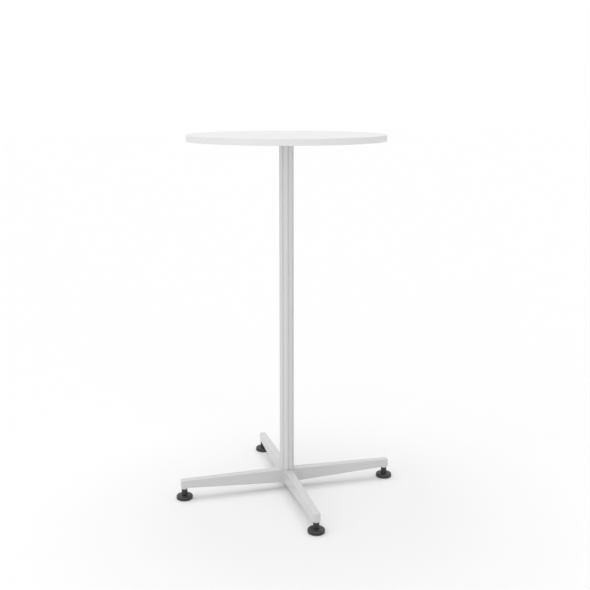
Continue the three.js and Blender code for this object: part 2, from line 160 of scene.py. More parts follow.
def eased_side(radius: float, bottom: float, top: float, low: Rounding, high: Rounding) -> list[Ring]:
    """Draws the upright side of a turned piece, with both of its edges rounded.

    Args:
        radius: The side's radius.
        bottom: Its lower end.
        top: Its upper end.
        low: Radius of the lower rounding and its number of steps, where one step is a chamfer.
        high: The same for the upper rounding.

    Returns:
        Radius and height of each point, from the lower end to the upper one.
    """
    side = []
    for (ease, steps), height, start in ((low, bottom + low[0], -QUARTER), (high, top - high[0], 0.0)):
        for step in range(steps + 1):
            angle = start + QUARTER * step / steps
            side.append((radius - ease + ease * math.cos(angle), height + ease * math.sin(angle)))
    return side


class Workbench:
    """One mesh being shaped with Blender's modelling tools."""

    def __init__(self, name: str) -> None:
        """Clears the bench for a piece of that name."""
        self.name = name
        self.deselect()

    @staticmethod
    def deselect() -> None:
        """Leaves edit mode with nothing selected."""
        if bpy.context.mode != "OBJECT":
            bpy.ops.object.mode_set(mode="OBJECT")
        bpy.ops.object.select_all(action="DESELECT")

    def _take(self) -> "Workbench":
        """Takes the new primitive into edit mode, with its place in its mesh.

        Returns:
            This bench.
        """
        self.piece = bpy.context.active_object
        self.piece.name = self.name
        self.piece.data.name = self.name
        bpy.ops.object.transform_apply(location=True, rotation=True, scale=True)
        bpy.ops.object.mode_set(mode="EDIT")
        return self.everything()

    def _activate(self) -> None:
        """Selects this piece alone, in object mode."""
        self.deselect()
        self.piece.select_set(True)
        bpy.context.view_layer.objects.active = self.piece

    def plate(self, half_width: float, height: float) -> "Workbench":
        """Starts from a square sheet about the column's axis."""
        bpy.ops.mesh.primitive_plane_add(size=2 * half_width, location=(0, 0, height))
        return self._take()

    def block(self, low: Point, high: Point) -> "Workbench":
        """Starts from a block.

        Args:
            low: Its lowest corner.
            high: Its highest corner.

        Returns:
            This bench.
        """
        middle = [(a + b) / 2 for a, b in zip(low, high)]
        size = [b - a for a, b in zip(low, high)]
        bpy.ops.mesh.primitive_cube_add(size=1, location=middle, scale=size)
        return self._take()

    def rod(self, radius: float, bottom: float, top: float, sides: int) -> "Workbench":
        """Starts from an upright rod on the column's axis."""
        bpy.ops.mesh.primitive_cylinder_add(
            vertices=sides, radius=radius, depth=top - bottom, location=(0, 0, (bottom + top) / 2)
        )
        return self._take()

    def turn(self, profile: Profile, sides: int, closed: bool = False) -> "Workbench":
        """Turns a profile about the column's axis, one extruded and resized ring at a time.

        Args:
            profile: Radius and height of each ring.
            sides: Number of sides of a full turn.
            closed: True if the profile returns to its start, as on a collar with a bore.

        Returns:
            This bench, with the turned solid in edit mode.
        """
        radius, height = profile[0]
        bpy.ops.mesh.primitive_circle_add(vertices=sides, radius=radius, location=(0, 0, height))
        self._take()
        for next_radius, next_height in profile[1:]:
            self.extrude((0, 0, next_height - height))
            share = next_radius / radius
            self.resize((share, share, 1.0), (0, 0, next_height))
            radius, height = next_radius, next_height
        if not closed:
            first_radius, first_height = profile[0]
            bpy.ops.mesh.edge_face_add()
            self.pick(
                Part.CORNERS,
                lambda v: abs(v.co.z - first_height) < TOUCH and abs(v.co.xy.length - first_radius) < TOUCH,
            )
            bpy.ops.mesh.edge_face_add()
        return self.weld()

    def thread(self, crest: float, depth: float, pitch: float, turns: int, sides: int) -> "Workbench":
        """Winds one pitch of a screw thread about the column's axis and closes its ends.

        Args:
            crest: Radius of the thread's crest.
            depth: Depth of the thread.
            pitch: Rise of one turn.
            turns: Number of turns.
            sides: Number of sides of a turn.

        Returns:
            This bench, with the closed thread in edit mode.
        """
        bpy.ops.mesh.primitive_circle_add(vertices=FEWEST_SIDES, radius=crest)
        self._take()
        self.pick(Part.CORNERS, lambda v: v.co.y < crest - TOUCH)
        bpy.ops.mesh.delete(type="VERT")
        self.everything()
        form = ((0, CREST_SHARE), (-depth, FLANK_SHARE), (0, ROOT_SHARE), (depth, FLANK_SHARE))
        for inwards, share in form:
            self.extrude((0, inwards, share * pitch))
        self._activate()
        bpy.ops.object.modifier_add(type="SCREW")
        screw = self.piece.modifiers[-1]
        screw.axis = "Z"
        screw.screw_offset = pitch
        screw.iterations = turns
        screw.steps = sides
        screw.render_steps = sides
        bpy.ops.object.modifier_apply(modifier=screw.name)
        bpy.ops.object.mode_set(mode="EDIT")
        self.weld()
        bpy.ops.mesh.fill_holes(sides=0)
        return self.weld()

    def pick(self, part: Part, test: Callable[[Any], bool]) -> "Workbench":
        """Selects the elements that pass a test of their place or normal.

        Args:
            part: Which kind of element is picked.
            test: True for the elements to select.

        Returns:
            This bench.
        """
        bpy.ops.mesh.select_mode(type=part.value)
        bpy.ops.mesh.select_all(action="DESELECT")
        mesh = bmesh.from_edit_mesh(self.piece.data)
        mesh.normal_update()
        groups = {Part.CORNERS: mesh.verts, Part.EDGES: mesh.edges, Part.FACES: mesh.faces}
        for element in groups[part]:
            if test(element):
                element.select_set(True)
        mesh.select_flush_mode()
        bmesh.update_edit_mesh(self.piece.data)
        return self

    def everything(self) -> "Workbench":
        """Selects the whole mesh."""
        bpy.ops.mesh.select_all(action="SELECT")
        return self

    def extrude(self, step: Point) -> "Workbench":
        """Extrudes what is picked by a step."""
        bpy.ops.mesh.extrude_region_move(TRANSFORM_OT_translate={"value": step})
        return self

    def resize(self, share: Point, centre: Point = (0, 0, 0)) -> "Workbench":
        """Scales what is picked about a centre."""
        bpy.ops.transform.resize(value=share, center_override=centre)
        return self

    def shift(self, step: Point) -> "Workbench":
        """Moves what is picked by a step."""
        bpy.ops.transform.translate(value=step)
        return self

    def bevel(self, width: float, steps: int) -> "Workbench":
        """Rounds the picked edges."""
        bpy.ops.mesh.bevel(offset_type="OFFSET", offset=width, segments=steps, affect="EDGES")
        return self

    def dissolve(self) -> "Workbench":
        """Makes one face of the picked faces."""
        bpy.ops.mesh.dissolve_faces()
        return self

    def weld(self) -> "Workbench":
        """Merges doubled corners and turns the faces outwards.

        Returns:
            This bench, with the whole mesh selected.
        """
        bpy.ops.mesh.select_mode(type=Part.CORNERS.value)
        self.everything()
        bpy.ops.mesh.remove_doubles(threshold=WELD)
        bpy.ops.mesh.normals_make_consistent(inside=False)
        return self

    def spread(self, count: int) -> "Workbench":
        """Repeats the whole mesh in equal steps round the column's axis.

        Args:
            count: Number of repeats, the first one included.

        Returns:
            This bench.
        """
        self.everything()
        for _ in range(count - 1):
            bpy.ops.mesh.duplicate()
            bpy.ops.transform.rotate(value=math.tau / count, orient_axis="Z", center_override=(0, 0, 0))
        return self

    def fuse(self, other: "Workbench", how: Fusion) -> "Workbench":
        """Joins another solid to this one, or cuts or trims this one with it.

        Args:
            other: The bench of the second solid, which is used up.
            how: What the second solid does.

        Returns:
            This bench, in edit mode.
        """
        self._activate()
        bpy.ops.object.modifier_add(type="BOOLEAN")
        modifier = self.piece.modifiers[-1]
        modifier.operation = how.value
        modifier.solver = "EXACT"
        modifier.object = other.piece
        bpy.ops.object.modifier_apply(modifier=modifier.name)
        bpy.data.objects.remove(other.piece)
        bpy.ops.object.mode_set(mode="EDIT")
        return self

    def finish(self, smooth_below: float = 32.0) -> Piece:
        """Smooths the shading of rounded faces and keeps flat faces flat.

        Args:
            smooth_below: Largest angle between two faces, in degrees, that is shaded smooth.

        Returns:
            The finished piece, in object mode.
        """
        self._activate()
        bpy.ops.object.shade_smooth_by_angle(angle=math.radians(smooth_below))
        bpy.ops.object.modifier_add(type="WEIGHTED_NORMAL")
        modifier = self.piece.modifiers[-1]
        modifier.keep_sharp = True
        bpy.ops.object.modifier_apply(modifier=modifier.name)
        return self.piece

    @classmethod
    def copy(cls, piece: Piece, name: str, step: Point) -> Piece:
        """Copies a finished piece to another place.

        Args:
            piece: The piece to copy.
            name: The copy's name.
            step: The way from the piece to its copy.

        Returns:
            The copy, with its own mesh and its place in it.
        """
        cls.deselect()
        piece.select_set(True)
        bpy.context.view_layer.objects.active = piece
        bpy.ops.object.duplicate(linked=False)
        twin = bpy.context.active_object
        twin.name = name
        twin.data.name = name
        bpy.ops.transform.translate(value=step)
        bpy.ops.object.transform_apply(location=True, rotation=False, scale=False)
        return twin


class Value:
    """A number on a node sheet, whose operators add Math nodes."""

    def __init__(self, sheet: "NodeSheet", socket: bpy.types.NodeSocket) -> None:
        """Wraps a node's output."""
        self.sheet = sheet
        self.socket = socket

    def _math(self, operation: str, first: Any, second: Any) -> "Value":
        """Adds one Math node of two inputs."""
        node = self.sheet.node("ShaderNodeMath", {"operation": operation}, {0: first, 1: second})
        return Value(self.sheet, node.outputs[0])

    def __add__(self, other: Any) -> "Value":
        """This value plus another."""
        return self._math("ADD", self, other)

    def __radd__(self, other: Any) -> "Value":
        """A number plus this value."""
        return self._math("ADD", other, self)

    def __mul__(self, other: Any) -> "Value":
        """This value times another."""
        return self._math("MULTIPLY", self, other)

    def __rmul__(self, other: Any) -> "Value":
        """A number times this value."""
        return self._math("MULTIPLY", other, self)

    def step(self, none: float, full: float) -> "Value":
        """A smooth step from 0 to 1 as this value goes from none to full, upwards or downwards."""
        inputs = {"Value": self, "From Min": none, "From Max": full}
        return Value(self.sheet, self.sheet.node("ShaderNodeMapRange", SMOOTH_STEP, inputs).outputs[0])

    @staticmethod
    def weigh(values: Sequence["Value"], shares: Sequence[float]) -> "Value":
        """The sum of several values, each by its share."""
        parts = [share * value for value, share in zip(values, shares) if share]
        return sum(parts[1:], parts[0])


class NodeSheet:
    """The node tree of one material or of the world."""

    def __init__(self, tree: bpy.types.NodeTree) -> None:
        """Starts from a tree's own nodes."""
        self.tree = tree

    def node(self, kind: str, settings: Mapping[str, Any], inputs: Mapping[Any, Any]) -> bpy.types.Node:
        """Adds a node.

        Args:
            kind: The node's type.
            settings: Its properties, which are set first.
            inputs: Numbers, values or sockets for its inputs, by name or number.

        Returns:
            The new node.
        """
        node = self.tree.nodes.new(kind)
        for key, setting in settings.items():
            setattr(node, key, setting)
        for key, given in inputs.items():
            self.feed(node.inputs[key], given)
        return node

    def feed(self, socket: bpy.types.NodeSocket, given: Any) -> None:
        """Links a value or socket to an input, or sets a plain number or colour on it.

        Args:
            socket: The input.
            given: What it gets.
        """
        if isinstance(given, Value):
            given = given.socket
        if isinstance(given, bpy.types.NodeSocket):
            self.tree.links.new(given, socket)
        else:
            socket.default_value = given

    def place(self, stretch: Point = EVEN) -> bpy.types.NodeSocket:
        """The point on the piece, in metres, with each axis stretched."""
        coordinates = self.node("ShaderNodeTexCoord", {}, {}).outputs["Object"]
        return self.node("ShaderNodeMapping", {}, {"Vector": coordinates, "Scale": stretch}).outputs["Vector"]

    def height(self) -> Value:
        """The height of the point above the floor."""
        split = self.node("ShaderNodeSeparateXYZ", {}, {0: self.place()})
        return Value(self, split.outputs["Z"])

    def reach(self) -> Value:
        """The distance of the point from the column's axis."""
        length = self.node("ShaderNodeVectorMath", {"operation": "LENGTH"}, {0: self.place((1, 1, 0))})
        return Value(self, length.outputs["Value"])

    def clouds(self, grain: float, fineness: float, stretch: Point) -> Value:
        """Clouds of one grain, from 0 to 1, with a number of finer layers in them."""
        inputs = {"Vector": self.place(stretch), "Scale": 1 / grain, "Detail": fineness}
        return Value(self, self.node("ShaderNodeTexNoise", {}, inputs).outputs[0])

    def _mosaic(self, grain: float, stretch: Point) -> bpy.types.Node:
        """Cells of one grain."""
        return self.node("ShaderNodeTexVoronoi", {}, {"Vector": self.place(stretch), "Scale": 1 / grain})

    def cells(self, grain: float, stretch: Point) -> Value:
        """The random tone of each cell, from 0 to 1."""
        tone = self.node("ShaderNodeSeparateColor", {}, {0: self._mosaic(grain, stretch).outputs["Color"]})
        return Value(self, tone.outputs[0])

    def gaps(self, grain: float, stretch: Point) -> Value:
        """The distance from the middle of each cell."""
        return Value(self, self._mosaic(grain, stretch).outputs["Distance"])

    def seen(self) -> Value:
        """Tells what the camera sees from what only gets light.

        Returns:
            1 for a surface seen straight, mirrored or through glass, and 0 for one that lights others.
        """
        rays = self.node("ShaderNodeLightPath", {}, {}).outputs
        straight, mirrored, through = (Value(self, rays[kind]) for kind in SEEN_RAYS)
        return straight + mirrored + through

    def mix(self, share: Value, first: Any, second: Any) -> bpy.types.NodeSocket:
        """Mixes two colours, from the first at a share of 0 to the second at 1."""
        inputs = {MIX_SHARE: share, MIX_FIRST: first, MIX_SECOND: second}
        return self.node("ShaderNodeMix", COLOUR_MIX, inputs).outputs[MIX_RESULT]

    def show(self, end: str, share: Value, first: bpy.types.Node, second: bpy.types.Node) -> None:
        """Mixes two shaders and gives the result to the tree's end."""
        mixed = self.node("ShaderNodeMixShader", {}, {0: share, 1: first.outputs[0], 2: second.outputs[0]})
        self.feed(self.tree.nodes[end].inputs["Surface"], mixed.outputs[0])


@dataclass(frozen=True)
class Layer:
    """One pattern on a surface, and how far it moves the tone, the dullness and the relief."""

    pattern: Pattern = Pattern.CLOUDS
    grain: float = MM
    fineness: float = 2.0
    stretch: Point = EVEN
    tone: float = 0.0
    dull: float = 0.0
    relief: float = 0.0

    def read(self, sheet: NodeSheet) -> Value:
        """Lays the pattern on a node sheet.

        Args:
            sheet: The finish's sheet.

        Returns:
            The pattern's value, in metres for a height or a reach, and about 0 to 1 for the others.
        """
        match self.pattern:
            case Pattern.HEIGHT:
                return sheet.height()
            case Pattern.REACH:
                return sheet.reach()
            case Pattern.CELLS:
                return sheet.cells(self.grain, self.stretch)
            case Pattern.GAPS:
                return sheet.gaps(self.grain, self.stretch)
        return sheet.clouds(self.grain, self.fineness, self.stretch)


@dataclass(frozen=True)
class Veil:
    """A second tone, laid where each of its patterns has gone from none to full."""

    steps: tuple[tuple[Layer, float, float], ...]
    strength: float = 1.0
    tone: float = 0.0
    dull: float = 0.0

    def mask(self, sheet: NodeSheet) -> Value:
        """Works out where the veil lies.

        Args:
            sheet: The finish's sheet.

        Returns:
            0 where it is clear, and its strength where it is full.
        """
        mask = self.strength
        for layer, none, full in self.steps:
            mask = mask * layer.read(sheet).step(none, full)
        return mask


@dataclass(frozen=True)
class Finish:
    """A finish: its plain colour and gloss, the layers that vary them, and the veils over them."""

    name: str
    colour: Colour
    roughness: float
    metallic: float = 0.0
    specular: float = 0.5
    coat: float = 0.0
    coat_roughness: float = 0.15
    variation: float = 0.02
    depth: float = 0.01 * MM
    layers: tuple[Layer, ...] = ()
    veils: tuple[Veil, ...] = ()

    def shade(self, share: float) -> Paint:
        """The plain colour made lighter or darker by a share."""
        return (*[min(1.0, channel * (1 + share)) for channel in self.colour], 1.0)

    def material(self) -> bpy.types.Material:
        """Makes the material.

        Returns:
            A new material with this finish's nodes.
        """
        made = bpy.data.materials.new(self.name)
        made.use_nodes = True
        made.diffuse_color = self.shade(0)
        sheet = NodeSheet(made.node_tree)
        values = [layer.read(sheet) for layer in self.layers]
        tone = Value.weigh(values, [layer.tone for layer in self.layers])
        colour = sheet.mix(tone, self.shade(-self.variation), self.shade(self.variation))
        swings = [layer.dull for layer in self.layers]
        roughness = self.roughness - MIDDLE * sum(swings) + Value.weigh(values, swings)
        for veil in self.veils:
            mask = veil.mask(sheet)
            colour = sheet.mix(mask, colour, self.shade(veil.tone))
            roughness = roughness + veil.dull * mask
        relief = Value.weigh(values, [layer.relief for layer in self.layers])
        bump = sheet.node("ShaderNodeBump", {}, {"Strength": 1.0, "Distance": self.depth, "Height": relief})
        inputs = {
            "Base Color": colour,
            "Roughness": roughness,
            "Metallic": self.metallic,
            "Specular IOR Level": self.specular,
            "Coat Weight": self.coat,
            "Coat Roughness": self.coat_roughness,
            "Normal": bump.outputs["Normal"],
        }
        shader = made.node_tree.nodes["Principled BSDF"]
        for socket, given in inputs.items():
            sheet.feed(shader.inputs[socket], given)
        return made


@dataclass(frozen=True)
class Laminate(Finish):
    """White laminate: faint clouds of tone, a fine matt grain and a little wiping haze."""

    depth: float = 0.012 * MM
    layers: tuple[Layer, ...] = (
        Layer(grain=60 * MM, fineness=3, tone=0.7),
        Layer(grain=0.7 * MM, fineness=3, tone=0.3, dull=0.08, relief=1.0),
        Layer(grain=150 * MM, fineness=4, stretch=(1.0, 0.35, 1.0), dull=0.1),
    )


@dataclass(frozen=True)
class EdgeBand(Finish):
    """White plastic band: fine lines drawn round the edge and faint patches of tone."""

    layers: tuple[Layer, ...] = (
        Layer(grain=0.5 * MM, stretch=(0.02, 0.02, 1.0), tone=0.5, dull=0.12, relief=1.0),
        Layer(grain=45 * MM, tone=0.5, dull=0.06),
    )


@dataclass(frozen=True)
class PowderCoat(Finish):
    """Silver grey powder coat: orange peel, specks, clouds, flakes, and a trace of dust near the floor."""

    depth: float = 0.006 * MM
    layers: tuple[Layer, ...] = (
        Layer(grain=1.6 * MM, fineness=1, relief=0.75),
        Layer(grain=0.4 * MM, tone=0.2, dull=0.05, relief=0.25),
        Layer(grain=70 * MM, fineness=3, tone=0.45, dull=0.08),
        Layer(Pattern.CELLS, grain=0.35 * MM, tone=0.35),
    )
    veils: tuple[Veil, ...] = (
        Veil(
            steps=((Layer(Pattern.HEIGHT), 45 * MM, 18 * MM), (Layer(grain=9 * MM, fineness=4), 0.45, 0.75)),
            strength=0.1,
            tone=-0.12,
            dull=0.3,
        ),
    )


@dataclass(frozen=True)
class Extrusion(Finish):
    """Satin silver aluminium: fine drawn lines, slow bands, faint handling marks, and grooves that are duller
    and darker, the darkening being painted shade.
    """

    depth: float = 0.012 * MM
    layers: tuple[Layer, ...] = (
        Layer(grain=0.45 * MM, fineness=3, stretch=(1.0, 1.0, 0.004), tone=0.4, dull=0.16, relief=1.0),
        Layer(grain=5 * MM, stretch=(1.0, 1.0, 0.004), tone=0.35),
        Layer(grain=35 * MM, fineness=4, tone=0.25, dull=0.12),
    )
    veils: tuple[Veil, ...] = (
        # Painted shade in the flutes: colour darkens nearer the axis than the outer face. The added roughness
        # there is real.
        Veil(steps=((Layer(Pattern.REACH), 21.8 * MM, 19.8 * MM),), tone=-0.09, dull=0.15),
    )


@dataclass(frozen=True)
class MouldedPlastic(Finish):
    """Black nylon: the fine texture of its mould, faint flow clouds and paler scuffs."""

    depth: float = 0.05 * MM
    layers: tuple[Layer, ...] = (
        Layer(grain=0.8 * MM, tone=0.4, relief=1.0),
        Layer(grain=14 * MM, fineness=3, tone=0.6, dull=0.16),
    )
    veils: tuple[Veil, ...] = (
        Veil(
            steps=((Layer(grain=6 * MM, fineness=5, stretch=(1.0, 1.0, 2.5)), 0.58, 0.72),),
            strength=0.35,
            tone=1.2,
            dull=0.343,
        ),
    )


@dataclass(frozen=True)
class Rubber(Finish):
    """Soft dark rubber: a dull, finely pitted skin with pale specks of dust."""

    depth: float = 0.08 * MM
    layers: tuple[Layer, ...] = (Layer(grain=0.6 * MM, fineness=3, tone=1.0, dull=0.1, relief=1.0),)
    veils: tuple[Veil, ...] = (
        Veil(steps=((Layer(grain=1.5 * MM, fineness=3), 0.62, 0.74),), strength=0.5, tone=2.0),
    )


@dataclass(frozen=True)
class ZincPlate(Finish):
    """Zinc plated steel: small spangles of tone, cloudy gloss and a fine plating grain."""

    metallic: float = 1.0
    depth: float = 0.015 * MM
    layers: tuple[Layer, ...] = (
        Layer(Pattern.CELLS, grain=1.8 * MM, tone=0.6, dull=0.1),
        Layer(grain=5 * MM, fineness=4, tone=0.4, dull=0.2),
        Layer(grain=0.3 * MM, relief=1.0),
    )


@dataclass(frozen=True)
class Chipboard(Finish):
    """Raw particle board: flat chips of mixed tone, dark gaps between them, and fibres."""

    depth: float = 0.15 * MM
    layers: tuple[Layer, ...] = (
        Layer(Pattern.CELLS, grain=2.6 * MM, stretch=(1.0, 0.5, 2.2), tone=0.7),
        Layer(Pattern.GAPS, grain=2.6 * MM, stretch=(1.0, 0.5, 2.2), relief=-1.0),
        Layer(grain=0.7 * MM, fineness=3, stretch=(0.4, 1.0, 1.0), tone=0.3, dull=0.1),
    )
    veils: tuple[Veil, ...] = (
        Veil(
            steps=((Layer(Pattern.GAPS, grain=2.6 * MM, stretch=(1.0, 0.5, 2.2)), 0.45, 0.8),),
            strength=0.6,
            tone=-0.6,
        ),
    )


@dataclass(frozen=True)
class Finishes:
    """Every finish of the table, by the record's material slots."""

    laminate: Finish = Laminate("white_laminate", grey(0.742), roughness=0.5, specular=0.4, variation=0.012)
    edge: Finish = EdgeBand("white_edge", grey(0.80), roughness=0.48, variation=0.015)
    core: Finish = Chipboard("core_board", (0.48, 0.35, 0.2), roughness=0.9, variation=0.3)
    plate: Finish = PowderCoat("plate_coat", grey(0.62), roughness=0.4)
    column: Finish = Extrusion("column_silver", grey(0.69), roughness=0.34, variation=0.025)
    base: Finish = PowderCoat("base_silver", grey(0.635), roughness=0.3, coat=0.35, variation=0.015)
    zinc: Finish = ZincPlate("zinc_steel", (0.56, 0.57, 0.58), roughness=0.36, variation=0.1)
    nylon: Finish = MouldedPlastic("black_nylon", (0.026, 0.026, 0.027), roughness=0.5, variation=0.15)
    sole: Finish = Rubber("sole_rubber", grey(0.045), roughness=0.85, variation=0.2)


class Wardrobe:
    """Makes each finish's material once, and dresses pieces and carried-over nodes in it."""

    def __init__(self, finishes: Finishes) -> None:
        """Starts with no material made."""
        self.finishes = finishes
        self.made: dict[str, bpy.types.Material] = {}

    def material(self, finish: Finish) -> bpy.types.Material:
        """Finds the material of a finish, or makes it at its first use.

        Args:
            finish: The finish.

        Returns:
            Its material.
        """
        if finish.name not in self.made:
            self.made[finish.name] = finish.material()
        return self.made[finish.name]

    def fit(self, piece: Piece, finish: Finish, body: str, node: str) -> Piece:
        """Dresses a new piece and joins it to the frame.

        Args:
            piece: The finished piece.
            finish: Its finish, whose name is the record's material slot.
            body: The body it moves with.
            node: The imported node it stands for.

        Returns:
            The piece.
        """
        piece.data.materials.clear()
        piece.data.materials.append(self.material(finish))
        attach(piece, body)
        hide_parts(node)
        return piece

    def dress_node(self, node: str, finish: Finish) -> Piece:
        """Gives a carried-over node its material.

        Args:
            node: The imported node's name.
            finish: Its finish.

        Returns:
            The node's own piece.
        """
        piece = frame["nodes"][node]
        for holder in piece.material_slots:
            holder.material = self.material(finish)
        return piece


@dataclass
class Tabletop:
    """Round board: top sheet, edge band and what is hidden between them."""

    wardrobe: Wardrobe
    height: float = 1109.99 * MM
    underside: float = 1091 * MM
    radius: float = 300 * MM
    band: float = 2 * MM
    band_rounding: Rounding = (1.2 * MM, 5)
    glue_line: float = 0.1 * MM
    sheet: float = 0.8 * MM
    sheet_chamfer: float = 0.15 * MM
    inserts: int = 4
    sides: int = 192

    def _sheet(self) -> Piece:
        """Makes the laminate sheet on top, with its rim eased.

        Returns:
            The sheet.
        """
        rim = self.radius - self.band - self.glue_line
        ease = self.sheet_chamfer
        profile = [(rim, self.height - self.sheet), (rim, self.height - ease), (rim - ease, self.height)]
        return Workbench("top_sheet").turn(profile, self.sides).finish()

    def _edge(self) -> Piece:
        """Makes the edge band, rounded above and below.

        Returns:
            The band.
        """
        inner = self.radius - self.band
        side = eased_side(self.radius, self.underside, self.height, self.band_rounding, self.band_rounding)
        profile = [(inner, self.underside), *side, (inner, self.height), (inner, self.underside)]
        return Workbench("top_edge").turn(profile, self.sides, closed=True).finish()

    def build(self) -> Iterator[Piece]:
        """Makes and dresses the tabletop's pieces.

        Returns:
            The pieces, one after another.
        """
        finishes = self.wardrobe.finishes
        yield self.wardrobe.fit(self._sheet(), finishes.laminate, "table", "tabletop_laminate")
        yield self.wardrobe.fit(self._edge(), finishes.edge, "table", "tabletop_edge_band")
        yield self.wardrobe.dress_node("tabletop_core", finishes.core)
        yield self.wardrobe.dress_node("tabletop_backing", finishes.laminate)
        for number in range(1, self.inserts + 1):
            yield self.wardrobe.dress_node(f"thread_insert_{number}", finishes.zinc)


@dataclass
class MountingPlate:
    """Round plate under the board, with the screws that hold it."""

    wardrobe: Wardrobe
    radius: float = 120 * MM
    bottom: float = 1084.8 * MM
    top: float = 1090.8 * MM
    edge_rounding: Rounding = (1.2 * MM, 4)
    edge_chamfer: Rounding = (0.3 * MM, 1)
    screws: int = 4
    screw_circle: float = 100 * MM
    screw_hole: float = 3.3 * MM
    port_circle: float = 11.2 * MM
    port_hole: float = 4.3 * MM
    sink_radius: float = 7.8 * MM
    sink_bottom: float = 1087.1 * MM
    sink_top: float = 1090.6 * MM
    head_radius: float = 5.25 * MM
    head_rim: float = 1.1 * MM
    head_bottom: float = 1081.3 * MM
    head_top: float = 1084.6 * MM
    crown: float = 2.9 * MM
    crown_steps: int = 6
    shank: float = 3 * MM
    shank_top: float = 1101 * MM
    hexagon: float = 2.309 * MM
    hexagon_depth: float = 2 * MM
    hexagon_sides: int = 6
    sides: int = 128
    screw_sides: int = 32
    hole_sides: int = 24
    spare: float = 2 * MM

    @property
    def _diagonal(self) -> float:
        """How far the first screw lies along each axis."""
        return self.screw_circle * DIAGONAL

    def _plate(self) -> Piece:
        """Makes the plate, rounded at its edge and drilled for its screws.

        Returns:
            The plate.
        """
        side = eased_side(self.radius, self.bottom, self.top, self.edge_rounding, self.edge_chamfer)
        plate = Workbench("plate_disc").turn(side, self.sides)
        start, end = self.bottom - self.spare, self.top + self.spare
        drill = Workbench("drill").rod(self.screw_hole, start, end, self.hole_sides)
        plate.fuse(drill.shift((self._diagonal, self._diagonal, 0)).spread(self.screws), Fusion.CUT)
        taper = [
            (self.port_hole, start),
            (self.port_hole, self.sink_bottom),
            (self.sink_radius, self.sink_top),
            (self.sink_radius, end),
        ]
        sink = Workbench("sink").turn(taper, self.hole_sides).shift((self.port_circle, 0, 0))
        return plate.fuse(sink.spread(self.screws), Fusion.CUT).finish()

    def _screw(self) -> Piece:
        """Makes a button-head screw at the first place, with its hexagon socket.

        Returns:
            The screw.
        """
        rim = self.head_top - self.head_rim
        rise = rim - self.head_bottom
        dome = []
        for step in range(self.crown_steps + 1):
            turn = QUARTER * (1 - step / self.crown_steps)
            spread = self.crown + (self.head_radius - self.crown) * math.cos(turn)
            dome.append((spread, rim - rise * math.sin(turn)))
        shank = [(self.head_radius, self.head_top), (self.shank, self.head_top), (self.shank, self.shank_top)]
        screw = Workbench("plate_button_screw_1").turn([*dome, *shank], self.screw_sides)
        start, end = self.head_bottom - self.spare, self.head_bottom + self.hexagon_depth
        key = Workbench("key").rod(self.hexagon, start, end, self.hexagon_sides)
        screw.fuse(key, Fusion.CUT).everything()
        return screw.shift((self._diagonal, self._diagonal, 0)).finish()

    def build(self) -> Iterator[Piece]:
        """Makes and dresses the plate and its screws.

        Returns:
            The pieces, one after another.
        """
        finishes = self.wardrobe.finishes
        yield self.wardrobe.fit(self._plate(), finishes.plate, "table", "mounting_plate")
        across = -2 * self._diagonal
        screws = [self._screw()]
        for number, step in enumerate(((across, 0, 0), (across, across, 0), (0, across, 0)), start=2):
            screws.append(Workbench.copy(screws[0], f"plate_button_screw_{number}", step))
        for number, screw in enumerate(screws, start=1):
            yield self.wardrobe.fit(screw, finishes.zinc, "table", f"plate_screw_{number}")
            yield self.wardrobe.dress_node(f"column_top_screw_{number}", finishes.zinc)


@dataclass
class Column:
    """Fluted tube with screw ports along its bore."""

    wardrobe: Wardrobe
    radius: float = 22 * MM
    bottom: float = 64.2 * MM
    top: float = 1084.6 * MM
    flute: float = 2.5 * MM
    flutes: int = 8
    mouth_rounding: float = 0.4 * MM
    mouth_steps: int = 3
    mouth_angle: float = math.radians(35)
    mouth_depth: float = 0.625 * MM
    bore: float = 16.5 * MM
    ports: int = 4
    port_circle: float = 11.2 * MM
    port: float = 6.3 * MM
    port_bore: float = 4.3 * MM
    spare: float = 2 * MM
    sides: int = 192
    bore_sides: int = 64
    rod_sides: int = 32

    def _rods(
        self, name: str, radius: float, ends: tuple[float, float], place: float, count: int
    ) -> Workbench:
        """Equal upright rods round the column's axis, between two heights and at one distance from it."""
        return Workbench(name).rod(radius, *ends, self.rod_sides).shift((place, 0, 0)).spread(count)

    def _mouth(self, edge: bmesh.types.BMEdge) -> bool:
        """Tells the long edges between the flutes and the outer face from the others.

        Args:
            edge: Any edge of the column.

        Returns:
            True for the edge of a flute's mouth.
        """
        start, end = (corner.co for corner in edge.verts)
        outside = start.xy.length > self.radius - self.mouth_depth
        upright = (start - end).xy.length < TOUCH
        return outside and upright and edge.calc_face_angle(0.0) > self.mouth_angle

    def _profile(self) -> Piece:
        """Makes the tube: fluted, hollowed round its screw ports, drilled, and eased along its flutes.

        Returns:
            The column.
        """
        short = (self.bottom - self.spare, self.top + self.spare)
        long = (short[0] - self.spare, short[1] + self.spare)
        column = Workbench("column_profile").rod(self.radius, self.bottom, self.top, self.sides)
        column.fuse(self._rods("flutes", self.flute, short, self.radius, self.flutes), Fusion.CUT)
        hollow = Workbench("hollow").rod(self.bore, *short, self.bore_sides)
        hollow.fuse(self._rods("ports", self.port, long, self.port_circle, self.ports), Fusion.CUT)
        column.fuse(hollow, Fusion.CUT)
        column.fuse(self._rods("port_bores", self.port_bore, short, self.port_circle, self.ports), Fusion.CUT)
        column.pick(Part.EDGES, self._mouth).bevel(self.mouth_rounding, self.mouth_steps)
        return column.weld().finish()

    def build(self) -> Iterator[Piece]:
        """Makes and dresses the column."""
        yield self.wardrobe.fit(self._profile(), self.wardrobe.finishes.column, "table", "column_extrusion")


